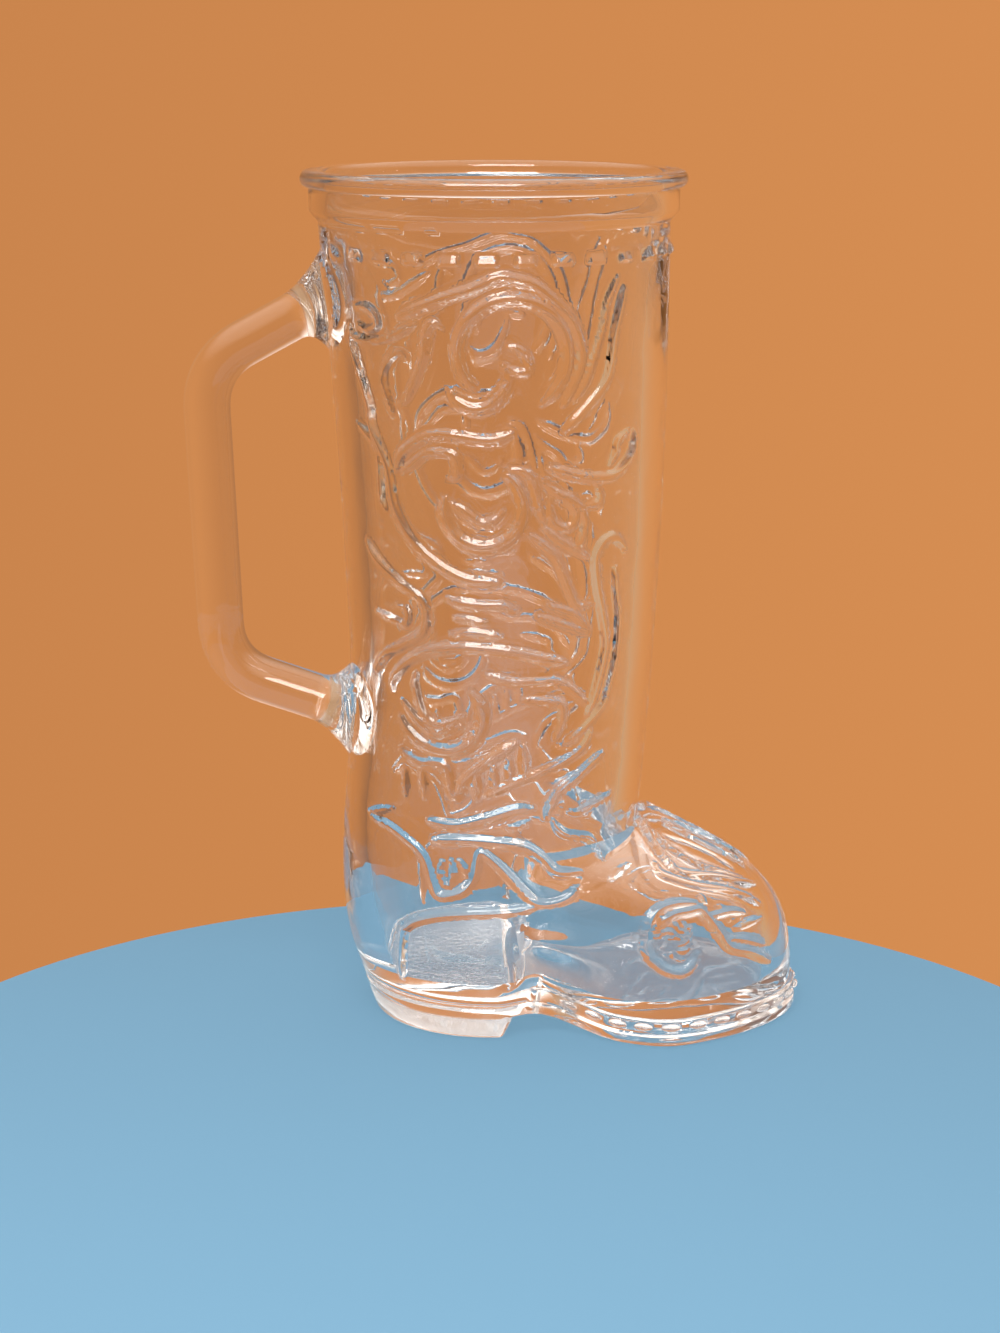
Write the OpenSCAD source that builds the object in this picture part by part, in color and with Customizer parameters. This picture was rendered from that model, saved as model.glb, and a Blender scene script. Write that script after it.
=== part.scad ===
// Beer mug in the shape of a western boot, in clear glass, with a bar handle at its back.
// Millimetres, +Z up, +X towards the toe. The origin is on the table, under the collar's axis.

/* [Rim] */
// Height from the table to the drinking edge
mug_h = 203; // [180:1:230]
// How far the rolled lip stands out from the collar band
lip_step = 1.9; // [1:0.1:3.5]
// Height of the rolled lip
lip_h = 4; // [3:0.5:6]
// Thickness of the glass at the lip
lip_t = 5.6; // [4:0.2:7]
// How far the collar band stands out from the leg
collar_step = 2.1; // [1.2:0.1:3.5]
// Height of the collar band with its bevel
collar_h = 7.6; // [5:0.2:12]
// Height of the bevel under the collar band
collar_bevel = 2.4; // [1:0.2:4]

/* [Leg] */
// Outer radius of the leg under the collar
leg_r = 41; // [38:0.5:46]
// Thickness of the leg's wall
wall = 5.6; // [3:0.2:7]
// Distance from the axis to the back where the leg is slimmest
calf_back = 34.7; // [32:0.1:37]
// Height of the slimmest place
calf_z = 80; // [70:1:95]
// Distance from the axis to the leg's front where the vamp starts
ankle_front = 34.9; // [33:0.1:37]
// Height where the vamp starts
vamp_z = 48; // [44:0.5:54]
// Distance from the axis to the back at the heel counter
counter_r = 37.1; // [35:0.1:39]
// Height of the fullest place of the heel counter
counter_z = 36; // [30:0.5:42]

/* [Foot] */
// Distance from the axis to the toe of the upper
toe_x = 73.2; // [66:0.2:82]
// Half-width that the toe's ellipse has at the axis
toe_w = 41; // [37:0.5:45]
// Distance from the axis to the widest place of the sole
flare_x = 46; // [42:0.5:52]
// Half-width of the sole at its waist
waist_w = 23.5; // [20:0.5:28]
// Distance from the axis to the waist
waist_x = 12; // [10:0.5:16]
// Thickness of the foot's wall at the sole
foot_wall = 7.2; // [4:0.2:9]
// Thickness of the foot's own floor
floor_t = 2.6; // [2:0.2:5]

/* [Sole and heel] */
// Thickness of welt and outsole together
sole_t = 6.6; // [5:0.2:8]
// Thickness of the outsole
outsole_t = 3; // [2:0.2:4]
// How far the welt stands out round the toe
welt_margin = 1.2; // [0.6:0.1:2.5]
// Rounding of the edges of welt, outsole and heel
edge = 0.7; // [0.4:0.1:1.2]
// Height of the heel block
heel_h = 5.2; // [3:0.2:9]
// Radius of the heel block at its foot
heel_r = 29.4; // [26:0.2:31]
// Radius of the heel block under the outsole
heel_top_r = 31.2; // [29:0.2:33]
// Radius of the welt round the heel
seat_r = 33.2; // [31:0.2:35]
// Distance from the axis to the front of the heel block
breast_x = 5; // [3:0.5:9]
// How much further back the front of the heel block is at the table
breast_lean = 2.4; // [0:0.2:4]
// Distance from the axis to where the sole meets the table
ball_x = 30; // [24:0.5:36]

/* [Handle] */
// Thickness of the bar, from the leg outwards
handle_t = 11; // [8:0.5:14]
// Width of the bar across the mug
handle_w = 15; // [11:0.5:20]
// Distance from the axis to the bar's middle at the upper bend
handle_reach = 68.2; // [60:0.2:80]
// How much nearer to the axis the lower bend is
handle_lean = 2.8; // [0:0.2:8]
// Distance from the leg's top down to the upper root
root_drop = 18.4; // [16:0.2:30]
// How far the upper bend lies below the upper root
arm_fall = 15.4; // [8:0.2:22]
// Height of the lower bend
bend_low = 84.6; // [78:0.2:94]
// Height of the lower root
root_low = 74.4; // [68:0.2:84]
// Length of the rounded stretch on each side of a bend
bend_len = 11; // [8:0.5:14]
// Length of the flare at each root
flare_len = 9; // [6:0.5:12]

/* [Tooling] */
// Width of the raised scrolls on the leg
vine_w = 3; // [1.6:0.1:3.6]
// How far the raised scrolls stand out
vine_h = 1; // [0.4:0.1:1.4]
// Width of the finer raised lines on leg and foot
line_w = 2.2; // [1.2:0.1:2.8]
// How far the raised lines stand out
line_h = 0.8; // [0.3:0.1:1.2]
// Distance from the leg's top down to the stitch row
stitch_drop = 6; // [4:0.2:8]
// Number of stitches in the row
stitch_n = 30; // [16:1:40]
// Height that a stitch spans on the leg
stitch_w = 2.6; // [1.6:0.1:3.4]
// How far a stitch stands out
stitch_h = 0.9; // [0.4:0.1:1.2]
// Number of stitches on each side of the welt
welt_n = 12; // [8:1:18]

/* [Hidden] */
// Gap between a raised line and the smooth glass that it follows
seat_gap = 0.06;
// Share of a stitch's pitch that the stitch fills, in the row and on the welt
stitch_share = 0.6;
welt_share = 0.62;
// Columns round each side of the boot's front and of its back, and rings up each wall
front_cols = 18;
back_cols = 12;
leg_rings = 14;
foot_rings = 15;
// How much closer the front's columns stand towards the waist, as a power
waist_bend = 1.4;
front_turns = [for (i = [0 : front_cols - 1]) 90 * (1 - pow(1 - i / front_cols, waist_bend))];
back_turns = [for (i = [0 : back_cols - 1]) 90 + 90 * i / back_cols];
half_turns = concat(front_turns, back_turns);
turns = concat(half_turns, [180], [for (i = [len(half_turns) - 1 : -1 : 1]) 360 - half_turns[i]]);
// Heights that follow from the sizes above
lip_z = mug_h - lip_h;
leg_top = lip_z - collar_h;
seat_z = sole_t + heel_h;
stitch_z = leg_top - stitch_drop;
root_top = leg_top - root_drop;
bend_top = root_top - arm_fall;
// Outer radius of the collar band and of the lip, inner radius of the leg's top and of the lip
collar_r = leg_r + collar_step;
lip_r = collar_r + lip_step;
bore_r = leg_r - wall;
mouth_r = lip_r - lip_t;
// Bends of the leg's back, its front and the counter's tuck, as powers
back_bend = 1.5;
front_bend = 2.3;
tuck_bend = 2.5;
// Side view of the vamp and the toe, as shares of its length and height
vamp_x_shares = [0, 0.75, 1.02, 1];
vamp_z_shares = [1, 0.72, 0.6, 0];
// Share of the way down the foot where the sole's outline starts to act
low_share = 0.42;
// How late the upper narrows to the sole's waist, as a power
waist_tuck = 2;
// How much larger the handle's roots are than its bar
root_share = 1.9;
// Roundness of the bar's section, as a power
bar_round = 0.8;
// Sides of the bar's section, rings in a bend and rings in a flare
bar_sides = 20;
bend_rings = 7;
flare_rings = 4;
// Shares of a root's face at which its rings lie
face_shares = [0.1, 0.4, 0.7];

// Steps between two points of a raised line, steps round a scroll and size of its tapered ends
line_steps = 2;
scroll_steps = 14;
tip_share = 0.3;
// Turn, from the toe, where the stitches on the welt end, and the step at which it is measured
welt_turn = 78;
welt_step = 2;
// Step in turn and in level that finds which way the glass faces
turn_probe = 1;
level_share = 0.01;
// Places below are [turn, level]. The turn is a share of half a turn, from the toe to the back.
// The level is 0 at the leg's top, 1 where the foot starts and 2 at the sole.
// Scrolls on the leg: middle, first and last radius as shares of leg_r, first and last angle
scroll_shares = [
    [[0.48, 0.185], [0.27, 0.325], [219, -56]],
    [[0.535, 0.43], [0.21, 0.22], [167, 413]],
    [[0.61, 0.76], [0.28, 0.17], [197, 396]]
];
// Vines between the scrolls, from the collar down
vine_shares = [
    [[0.685, 0.125], [0.58, 0.09], [0.495, 0.075], [0.42, 0.085], [0.365, 0.125], [0.34, 0.18],
     [0.37, 0.25]],
    [[0.815, 0.165], [0.785, 0.24], [0.765, 0.31], [0.73, 0.37], [0.715, 0.43], [0.665, 0.5], [0.585, 0.535],
     [0.5, 0.545]],
    [[0.25, 0.085], [0.275, 0.155], [0.29, 0.225], [0.335, 0.27], [0.39, 0.3], [0.45, 0.295]],
    [[0.625, 0.15], [0.64, 0.2], [0.69, 0.27]],
    [[0.715, 0.115], [0.76, 0.115], [0.785, 0.14], [0.755, 0.165], [0.69, 0.16]],
    [[0.705, 0.37], [0.665, 0.335], [0.595, 0.315], [0.52, 0.32], [0.48, 0.31]],
    [[0.44, 0.385], [0.415, 0.455]],
    [[0.215, 0.325], [0.245, 0.37], [0.32, 0.385], [0.41, 0.365]],
    [[0.38, 0.415], [0.345, 0.44], [0.345, 0.475], [0.385, 0.485]],
    [[0.235, 0.51], [0.285, 0.485], [0.31, 0.535], [0.28, 0.635], [0.28, 0.685], [0.315, 0.775],
     [0.4, 0.84]],
    [[0.45, 0.475], [0.4, 0.51], [0.365, 0.565], [0.33, 0.585]],
    [[0.81, 0.32], [0.765, 0.36], [0.75, 0.42]],
    [[0.805, 0.5], [0.715, 0.555], [0.655, 0.6], [0.685, 0.65], [0.795, 0.71]],
    [[0.605, 0.575], [0.535, 0.585], [0.445, 0.59]],
    [[0.605, 0.63], [0.5, 0.63], [0.395, 0.64]],
    [[0.745, 0.735], [0.675, 0.67], [0.565, 0.655], [0.435, 0.67], [0.355, 0.7]],
    [[0.53, 0.7], [0.405, 0.71], [0.335, 0.745]],
    [[0.45, 0.75], [0.4, 0.755], [0.385, 0.805]],
    [[0.715, 0.85], [0.63, 0.86], [0.59, 0.9], [0.545, 0.865], [0.46, 0.815]],
    [[0.265, 0.845], [0.35, 0.88], [0.385, 0.93]]
];
// Finer lines between the vines
sprig_shares = [
    [[0.815, 0.155], [0.765, 0.175], [0.69, 0.16], [0.65, 0.14]],
    [[0.67, 0.195], [0.705, 0.2], [0.725, 0.24], [0.71, 0.285]],
    [[0.265, 0.075], [0.305, 0.15], [0.34, 0.23], [0.36, 0.26]],
    [[0.48, 0.175], [0.45, 0.2], [0.475, 0.21]],
    [[0.59, 0.245], [0.55, 0.27], [0.5, 0.255], [0.48, 0.22]],
    [[0.695, 0.375], [0.64, 0.345], [0.585, 0.35], [0.595, 0.385]],
    [[0.595, 0.42], [0.535, 0.455], [0.5, 0.43]],
    [[0.42, 0.39], [0.365, 0.42], [0.335, 0.465], [0.365, 0.5]],
    [[0.425, 0.46], [0.38, 0.485], [0.325, 0.51]],
    [[0.26, 0.535], [0.245, 0.615], [0.265, 0.74], [0.355, 0.815]],
    [[0.72, 0.595], [0.695, 0.61], [0.715, 0.625], [0.785, 0.615]],
    [[0.43, 0.605], [0.4, 0.615], [0.325, 0.635]],
    [[0.595, 0.605], [0.53, 0.615]],
    [[0.675, 0.705], [0.665, 0.765], [0.61, 0.785], [0.575, 0.77]],
    [[0.3, 0.8], [0.335, 0.835], [0.4, 0.86], [0.465, 0.88], [0.52, 0.9]],
    [[0.7, 0.87], [0.695, 0.915]],
    [[0.66, 0.87], [0.65, 0.91]],
    [[0.505, 0.855], [0.505, 0.885]],
    [[0.48, 0.84], [0.475, 0.87]],
    [[0.455, 0.82], [0.445, 0.86]]
];
// Hem where the leg ends over the foot, with two lines above it
hem_shares = [
    [[0.795, 0.96], [0.735, 0.97], [0.68, 0.985], [0.645, 1.03], [0.625, 1.205], [0.6, 1.34], [0.555, 1.27],
     [0.53, 1.155], [0.515, 1.02], [0.495, 1.045], [0.47, 1.155], [0.455, 1.27], [0.43, 1.37], [0.395, 1.32],
     [0.37, 1.22]],
    [[0.635, 0.945], [0.51, 0.935], [0.42, 0.92]],
    [[0.62, 0.98], [0.51, 0.975], [0.435, 0.985], [0.405, 1.03], [0.4, 1.11]]
];
// Rosette on the side of the toe: middle, half-sizes of its ring, first and last angle
rosette_shares = [[0.283, 1.66], [0.024, 0.11], [0, 330]];
// Spiral round the rosette, its stem, and the seams along the vamp
vamp_shares = [
    [[0.233, 1.48], [0.267, 1.47], [0.295, 1.49], [0.32, 1.58], [0.33, 1.7], [0.317, 1.78], [0.295, 1.82],
     [0.275, 1.79]],
    [[0.25, 1.52], [0.233, 1.54], [0.222, 1.66], [0.205, 1.75], [0.17, 1.81], [0.135, 1.87]],
    [[0.217, 1.19], [0.233, 1.26], [0.21, 1.35], [0.175, 1.43], [0.14, 1.51], [0.11, 1.6]],
    [[0.022, 1.01], [0.106, 1.05], [0.156, 1.11], [0.19, 1.19], [0.195, 1.26], [0.16, 1.34], [0.11, 1.45],
     [0.08, 1.5]],
    [[0.08, 1.06], [0.133, 1.13], [0.15, 1.24], [0.117, 1.38], [0.095, 1.43]],
    [[0.02, 1.1], [0.033, 1.19], [0.03, 1.29], [0.02, 1.4]]
];
// Outline of the heel counter and the rib at its front
counter_shares = [
    [[0.71, 1.9], [0.697, 1.7], [0.685, 1.62], [0.655, 1.555], [0.605, 1.485], [0.54, 1.45], [0.495, 1.44]],
    [[0.47, 1.42], [0.475, 1.61], [0.478, 1.9]]
];

function mix(a, b, t) = a + (b - a) * t;
function ease(t) = let (c = min(1, max(0, t))) c * c * (3 - 2 * c);
function cubic(p, t) =
    pow(1 - t, 3) * p[0] + 3 * pow(1 - t, 2) * t * p[1] + 3 * (1 - t) * t * t * p[2] + t * t * t * p[3];

// Distance from the axis to the boot's back at height z
function back(z) =
    z > calf_z ? mix(calf_back, leg_r, pow((z - calf_z) / (leg_top - calf_z), back_bend))
    : z > counter_z ? mix(counter_r, calf_back, ease((z - counter_z) / (calf_z - counter_z)))
    : mix(counter_r, seat_r, pow((counter_z - z) / (counter_z - seat_z), tuck_bend));

// Distance from the axis to the leg's front at height z
function front(z) = mix(leg_r, ankle_front, pow((leg_top - z) / (leg_top - vamp_z), front_bend));

// Middle and radius of the leg's round section at height z
function mid_x(z) = (front(z) - back(z)) / 2;
function mid_r(z) = (front(z) + back(z)) / 2;
function leg_at(a, z, inset) = [mid_x(z) + (mid_r(z) - inset) * cos(a), (mid_r(z) - inset) * sin(a), z];
function leg_ring(z, inset) = [for (a = turns) leg_at(a, z, inset)];

// Front end and height of ring t of the foot, 0 at the leg and 1 at the sole
function vamp(t, inset, floor) = [
    mix(ankle_front, toe_x, cubic(vamp_x_shares, t)) - inset,
    mix(sole_t + floor, vamp_z - inset, cubic(vamp_z_shares, t))
];

// How much ring t follows the sole, and the height of the sole's underside at x
function low(t) = ease((t - low_share) / (1 - low_share));
function lift(x) = heel_h * ease((ball_x - x) / (ball_x - breast_x));

// Half-width at x of the sole and of the upper, before the rounding of their ends
function sole_w(x, rear) =
    x < waist_x ? mix(rear, waist_w, ease(x / waist_x))
    : mix(waist_w, toe_w, ease((x - waist_x) / (flare_x - waist_x)));
function upper_w(x, rear, t) =
    mix(mix(rear, mix(rear, toe_w, ease(t)), ease(x / flare_x)), sole_w(x, rear), pow(low(t), waist_tuck));

foot_mid = mid_x(vamp_z);
function foot_at(a, t, inset, floor) =
    let (p = vamp(t, inset, floor), rear = back(p[1] + heel_h * low(t)) + foot_mid)
    let (reach = cos(a) > 0 ? p[0] - foot_mid : rear - inset)
    let (x = foot_mid + reach * cos(a))
    let (w = cos(a) > 0 ? upper_w(x, rear, t) : rear)
        [x, (w - inset) * sin(a), p[1] + lift(x) * low(t)];
function foot_ring(t, inset, floor) = [for (a = turns) foot_at(a, t, inset, floor)];

// Outline of the sole at height h in its thickness
function sole_at(a, h, inset) =
    let (rear = mix(heel_top_r, seat_r, h / sole_t) + foot_mid)
    let (reach = cos(a) > 0 ? toe_x + welt_margin - foot_mid : rear)
    let (x = foot_mid + (reach - inset) * cos(a))
    let (w = cos(a) > 0 ? sole_w(x, rear) + welt_margin * ease(x / waist_x) : rear)
        [x, (w - inset) * sin(a), h + lift(x)];
function sole_ring(h, inset) = [for (a = turns) sole_at(a, h, inset)];

// Outline of the heel block at height z
function heel_ring(z, inset) =
    let (t = z / heel_h, rear = mix(heel_r, heel_top_r, t) + foot_mid)
    let (breast = breast_x - breast_lean * (1 - t) - foot_mid)
        [for (a = turns)
            let (c = cos(a), s = sin(a))
                c > 0 ? [foot_mid + (breast - inset) * sqrt(sqrt(c)),
                         (rear - inset) * sign(s) * sqrt(sqrt(abs(s))), z]
                : [foot_mid + (rear - inset) * c, (rear - inset) * s, z]
        ];

// Walls between rings that run round the same way, and strips that close a ring
function walls(n, first, last) = [
    for (j = [first : last - 1])
        for (i = [0 : n - 1])
            let (k = (i + 1) % n)
                each [[j * n + i, (j + 1) * n + i, (j + 1) * n + k],
                      [j * n + i, (j + 1) * n + k, j * n + k]]
];
function strip(n, j) = [
    for (i = [0 : n / 2 - 1])
        let (a = j * n + i, b = j * n + i + 1, c = j * n + n - i - 1, d = j * n + (n - i) % n)
            each (i == 0 ? [[a, b, c]] : b == c ? [[a, b, d]] : [[a, b, c], [a, c, d]])
];
function turned(faces) = [for (f = faces) [f[2], f[1], f[0]]];

module ring_solid(rings) {
    n = len(rings[0]);
    last = len(rings) - 1;
    polyhedron(
        points = [for (r = rings) each r],
        faces = concat(strip(n, 0), walls(n, 0, last), turned(strip(n, last))),
        convexity = 10
    );
}

module ring_tube(rings) {
    n = len(rings[0]);
    last = len(rings) - 1;
    ends = [
        for (i = [0 : n - 1])
            let (k = (i + 1) % n)
                each [[last * n + i, i, k], [last * n + i, k, last * n + k]]
    ];
    polyhedron(
        points = [for (r = rings) each r],
        faces = concat(walls(n, 0, last), ends),
        convexity = 10
    );
}

// Rolled lip that is drunk from
module lip() {
    bead = lip_h / 2;
    color("aliceblue")
    rotate_extrude($fn = 96)
    union() {
        translate([lip_r - bead, lip_z + bead]) circle(r = bead, $fn = 48);
        translate([mouth_r + bead, lip_z + bead]) circle(r = bead, $fn = 48);
        translate([mouth_r + bead, lip_z]) square([lip_t - lip_h, lip_h]);
        translate([mouth_r, lip_z]) square([collar_r - mouth_r, bead]);
    }
}

// Plain band under the lip, with a bevel down to the leg
module collar() {
    color("aliceblue")
    rotate_extrude($fn = 96)
    polygon([
        [bore_r, leg_top],
        [leg_r, leg_top],
        [collar_r, leg_top + collar_bevel],
        [collar_r, lip_z],
        [mouth_r, lip_z]
    ]);
}

// Leg of the boot, open through its length
module leg() {
    heights = [for (j = [0 : leg_rings]) mix(vamp_z, leg_top, j / leg_rings)];
    color("aliceblue")
    ring_tube(concat(
        [for (j = [0 : leg_rings]) leg_ring(heights[j], 0)],
        [for (j = [leg_rings : -2 : 0]) leg_ring(heights[j], wall)]
    ));
}

// Hollow foot, closed at the sole and open to the leg
module foot() {
    color("aliceblue")
    ring_solid(concat(
        [for (j = [foot_rings : -1 : 0]) foot_ring(j / foot_rings, 0, 0)],
        [leg_ring(vamp_z, wall)],
        [for (j = [0 : foot_rings]) foot_ring(j / foot_rings, mix(wall, foot_wall, j / foot_rings), floor_t)]
    ));
}

module slab(low_h, high_h) {
    ring_solid([
        sole_ring(low_h, edge),
        sole_ring(low_h + edge, 0),
        sole_ring(high_h - edge, 0),
        sole_ring(high_h, edge)
    ]);
}

// Upper layer of the sole
module welt() {
    color("aliceblue") slab(outsole_t, sole_t);
}

// Lower layer of the sole
module outsole() {
    color("aliceblue") slab(0, outsole_t);
}

// Low heel block with a flat foot
module heel() {
    color("aliceblue")
    ring_solid([
        heel_ring(0, edge),
        heel_ring(edge, 0),
        heel_ring(heel_h - edge, 0),
        heel_ring(heel_h, edge)
    ]);
}

// Point on the back of the leg at width y and height z
function on_back(y, z) = [mid_x(z) - sqrt(pow(mid_r(z), 2) - y * y), y, z];

// Section of the bar at angle b, out of the leg and across the mug
function bar_u(b) = handle_t / 2 * sign(cos(b)) * pow(abs(cos(b)), bar_round);
function bar_v(b) = handle_w / 2 * sign(sin(b)) * pow(abs(sin(b)), bar_round);
bar_angles = [for (i = [0 : bar_sides - 1]) 360 * i / bar_sides];

// Middle of the bar: root, upper bend, lower bend, root, as [x, z]
corners = [
    [-back(root_top), root_top],
    [-handle_reach, bend_top],
    [handle_lean - handle_reach, bend_low],
    [-back(root_low), root_low]
];
function toward(p, q) = (q - p) / norm(q - p);
function bend(p, q, r) = [
    for (j = [0 : bend_rings])
        let (t = j / bend_rings)
        let (a = q + toward(q, p) * bend_len, b = q + toward(q, r) * bend_len)
            (1 - t) * (1 - t) * a + 2 * t * (1 - t) * q + t * t * b
];
path = concat(
    [corners[0] + toward(corners[0], corners[1]) * flare_len],
    bend(corners[0], corners[1], corners[2]),
    bend(corners[1], corners[2], corners[3]),
    [corners[3] + toward(corners[3], corners[2]) * flare_len]
);
function heading(j) = toward(path[max(0, j - 1)], path[min(len(path) - 1, j + 1)]);
function bar_ring(j) =
    let (h = heading(j))
        [for (b = bar_angles)
            [path[j][0] + h[1] * bar_u(b), bar_v(b), path[j][1] - h[0] * bar_u(b)]];

// Ring of a root: s is 0 on the leg and 1 where the flare ends, share scales the root's face
function root_ring(root, end, s, share) =
    let (z = corners[root][1], slope = heading(end), bar = bar_ring(end))
        [for (i = [0 : bar_sides - 1])
            let (u = -bar_u(bar_angles[i]) / slope[0], v = bar_v(bar_angles[i]))
            let (plain = on_back(v, z + u))
            let (wide = on_back(v * root_share * share, z + u * root_share * share))
                mix(plain, bar[i], s) + (wide - plain) * (1 - s) * (1 - s)
        ];

// Bar handle with a flared root at each end
module handle() {
    end = len(path) - 1;
    color("aliceblue")
    ring_solid(concat(
        [for (k = face_shares) root_ring(0, 0, 0, k)],
        [for (j = [0 : flare_rings - 1]) root_ring(0, 0, j / flare_rings, 1)],
        [for (j = [0 : end]) bar_ring(j)],
        [for (j = [flare_rings - 1 : -1 : 0]) root_ring(3, end, j / flare_rings, 1)],
        [for (k = [len(face_shares) - 1 : -1 : 0]) root_ring(3, end, 0, face_shares[k])]
    ));
}

// Raised stitches in a row round the leg, up to the handle's root
module stitch_row() {
    pitch = 360 / stitch_n;
    root_turn = asin(handle_w * root_share / 2 / leg_r);
    bow_r = (stitch_w * stitch_w / 4 + stitch_h * stitch_h) / (2 * stitch_h);
    color("aliceblue")
    translate([mid_x(stitch_z), 0, stitch_z])
    for (k = [0 : stitch_n - 1])
        if (k * pitch + pitch < 180 - root_turn || k * pitch > 180 + root_turn)
        rotate([0, 0, k * pitch])
        rotate_extrude(angle = pitch * stitch_share, $fn = 96)
        translate([mid_r(stitch_z), 0])
        intersection() {
            translate([stitch_h - bow_r, 0]) circle(r = bow_r, $fn = 48);
            translate([0, -stitch_w]) square([stitch_w, 2 * stitch_w]);
        }
}

// Point of the smooth boot at a place on its right side, and the way that the glass faces there
function skin(place) =
    let (a = -180 * place[0], s = place[1])
        s <= 1 ? leg_at(a, mix(leg_top, vamp_z, s), 0) : foot_at(a, s - 1, 0, 0);
function facing(place) =
    let (u = [turn_probe / 180, 0], v = [0, level_share])
    let (f = cross(skin(place - u) - skin(place + u), skin(place - v) - skin(place + v)))
        f / norm(f);

// Smooth course through the points of a line, and the course of a scroll
function between(p, i, t) =
    let (a = p[max(0, i - 1)], b = p[i], c = p[i + 1], d = p[min(len(p) - 1, i + 2)])
        (2 * b + (c - a) * t + (2 * a - 5 * b + 4 * c - d) * t * t + (3 * (b - c) + d - a) * t * t * t) / 2;
function course(p) = [
    for (i = [0 : len(p) - 2])
        for (k = [0 : line_steps - 1])
            between(p, i, k / line_steps),
    p[len(p) - 1]
];
function scroll(middle, first, last, ends) = [
    for (k = [0 : scroll_steps])
        let (t = k / scroll_steps, b = mix(ends[0], ends[1], t), r = mix(first, last, t))
            middle - [r[0] * cos(b), r[1] * sin(b)]
];
function round_share(r) = [r / PI, r * leg_r / (leg_top - vamp_z)];

// Ridge with a sharp crest along a course of places, thinner at its ends
module ridge(places, w, h) {
    last = len(places) - 1;
    points = [for (p = places) skin(p)];
    ring_solid([
        for (j = [0 : last])
            let (n = facing(places[j]), t = points[min(last, j + 1)] - points[max(0, j - 1)])
            let (side = cross(t, n) / norm(cross(t, n)), size = j == 0 || j == last ? tip_share : 1)
            let (foot = points[j] + n * seat_gap)
                [foot + n * h * size, foot + side * w / 2 * size, foot - side * w / 2 * size]
    ]);
}

module on_side(left) {
    if (left) mirror([0, 1, 0]) children();
    else children();
}

// Scrolls, vines and sprigs on one side of the leg
module scrolls(left) {
    color("aliceblue")
    on_side(left) {
        for (c = scroll_shares)
            ridge(scroll(c[0], round_share(c[1][0]), round_share(c[1][1]), c[2]), vine_w, vine_h);
        for (p = vine_shares)
            ridge(course(p), vine_w, vine_h);
        for (p = sprig_shares)
            ridge(course(p), line_w, line_h);
    }
}

// Hem on one side of the leg's end
module hem(left) {
    color("aliceblue")
    on_side(left)
    for (p = hem_shares)
        ridge(course(p), line_w, line_h);
}

// Rosette and lines on one side of the vamp
module vamp_lines(left) {
    color("aliceblue")
    on_side(left) {
        ridge(scroll(rosette_shares[0], rosette_shares[1], rosette_shares[1], rosette_shares[2]),
              line_w, line_h);
        for (p = vamp_shares)
            ridge(course(p), line_w, line_h);
    }
}

// Outline and rib on one side of the heel counter
module counter_lines(left) {
    color("aliceblue")
    on_side(left)
    for (p = counter_shares)
        ridge(course(p), line_w, line_h);
}

// Turn of the welt's edge at a distance from the toe, along its middle height
welt_mid = (outsole_t + sole_t) / 2;
welt_turns = [0 : welt_step : welt_turn];
function welt_edge(a) = sole_at(-a, welt_mid, 0);
welt_chords = [for (a = welt_turns) norm(welt_edge(a) - welt_edge(max(0, a - welt_step)))];
function sum_to(list, i) = i == 0 ? list[0] : list[i] + sum_to(list, i - 1);
welt_runs = [for (i = [0 : len(welt_chords) - 1]) sum_to(welt_chords, i)];
function welt_turn_at(run) = lookup(run, [for (i = [0 : len(welt_runs) - 1]) [welt_runs[i], i * welt_step]]);

// Raised stitches along both sides of the welt
module welt_stitches() {
    pitch = welt_runs[len(welt_runs) - 1] / welt_n;
    half_h = (sole_t - outsole_t) / 2 - edge;
    shape_shares = [[-1, tip_share], [-0.6, 1], [0.6, 1], [1, tip_share]];
    color("aliceblue")
    for (left = [false, true], k = [0 : welt_n - 1])
        on_side(left)
        ring_solid([
            for (q = shape_shares)
                let (a = welt_turn_at((k + 0.5 + q[0] * welt_share / 2) * pitch))
                let (p = welt_edge(a), t = welt_edge(a + turn_probe) - p)
                let (n = cross([0, 0, 1], t) / norm(cross([0, 0, 1], t)), foot = p + n * seat_gap)
                let (up = [0, 0, half_h * q[1]])
                    [foot + n * line_h * q[1], foot + up, foot - up]
        ]);
}

lip();
collar();
leg();
foot();
welt();
outsole();
heel();
handle();
stitch_row();
scrolls(false);  // right_scrolls
scrolls(true);  // left_scrolls
hem(false);  // right_hem
hem(true);  // left_hem
vamp_lines(false);  // right_vamp_lines
vamp_lines(true);  // left_vamp_lines
counter_lines(false);  // right_counter_lines
counter_lines(true);  // left_counter_lines
welt_stitches();
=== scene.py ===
# %% [markdown]
# # A boot-shaped beer mug in clear glass
# The mug is one piece of moulded glass in the shape of a western boot, with a bar handle at its back.
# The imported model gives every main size. This lesson dresses it: one closed glass body with raised
# tooling, a smooth hollow inside and a finish that bends light as thick glass does.

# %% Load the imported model
from math import acos, atan2, cos, pi, radians, sin, sqrt

import bmesh
import bpy
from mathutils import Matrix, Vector, kdtree, noise


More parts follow.
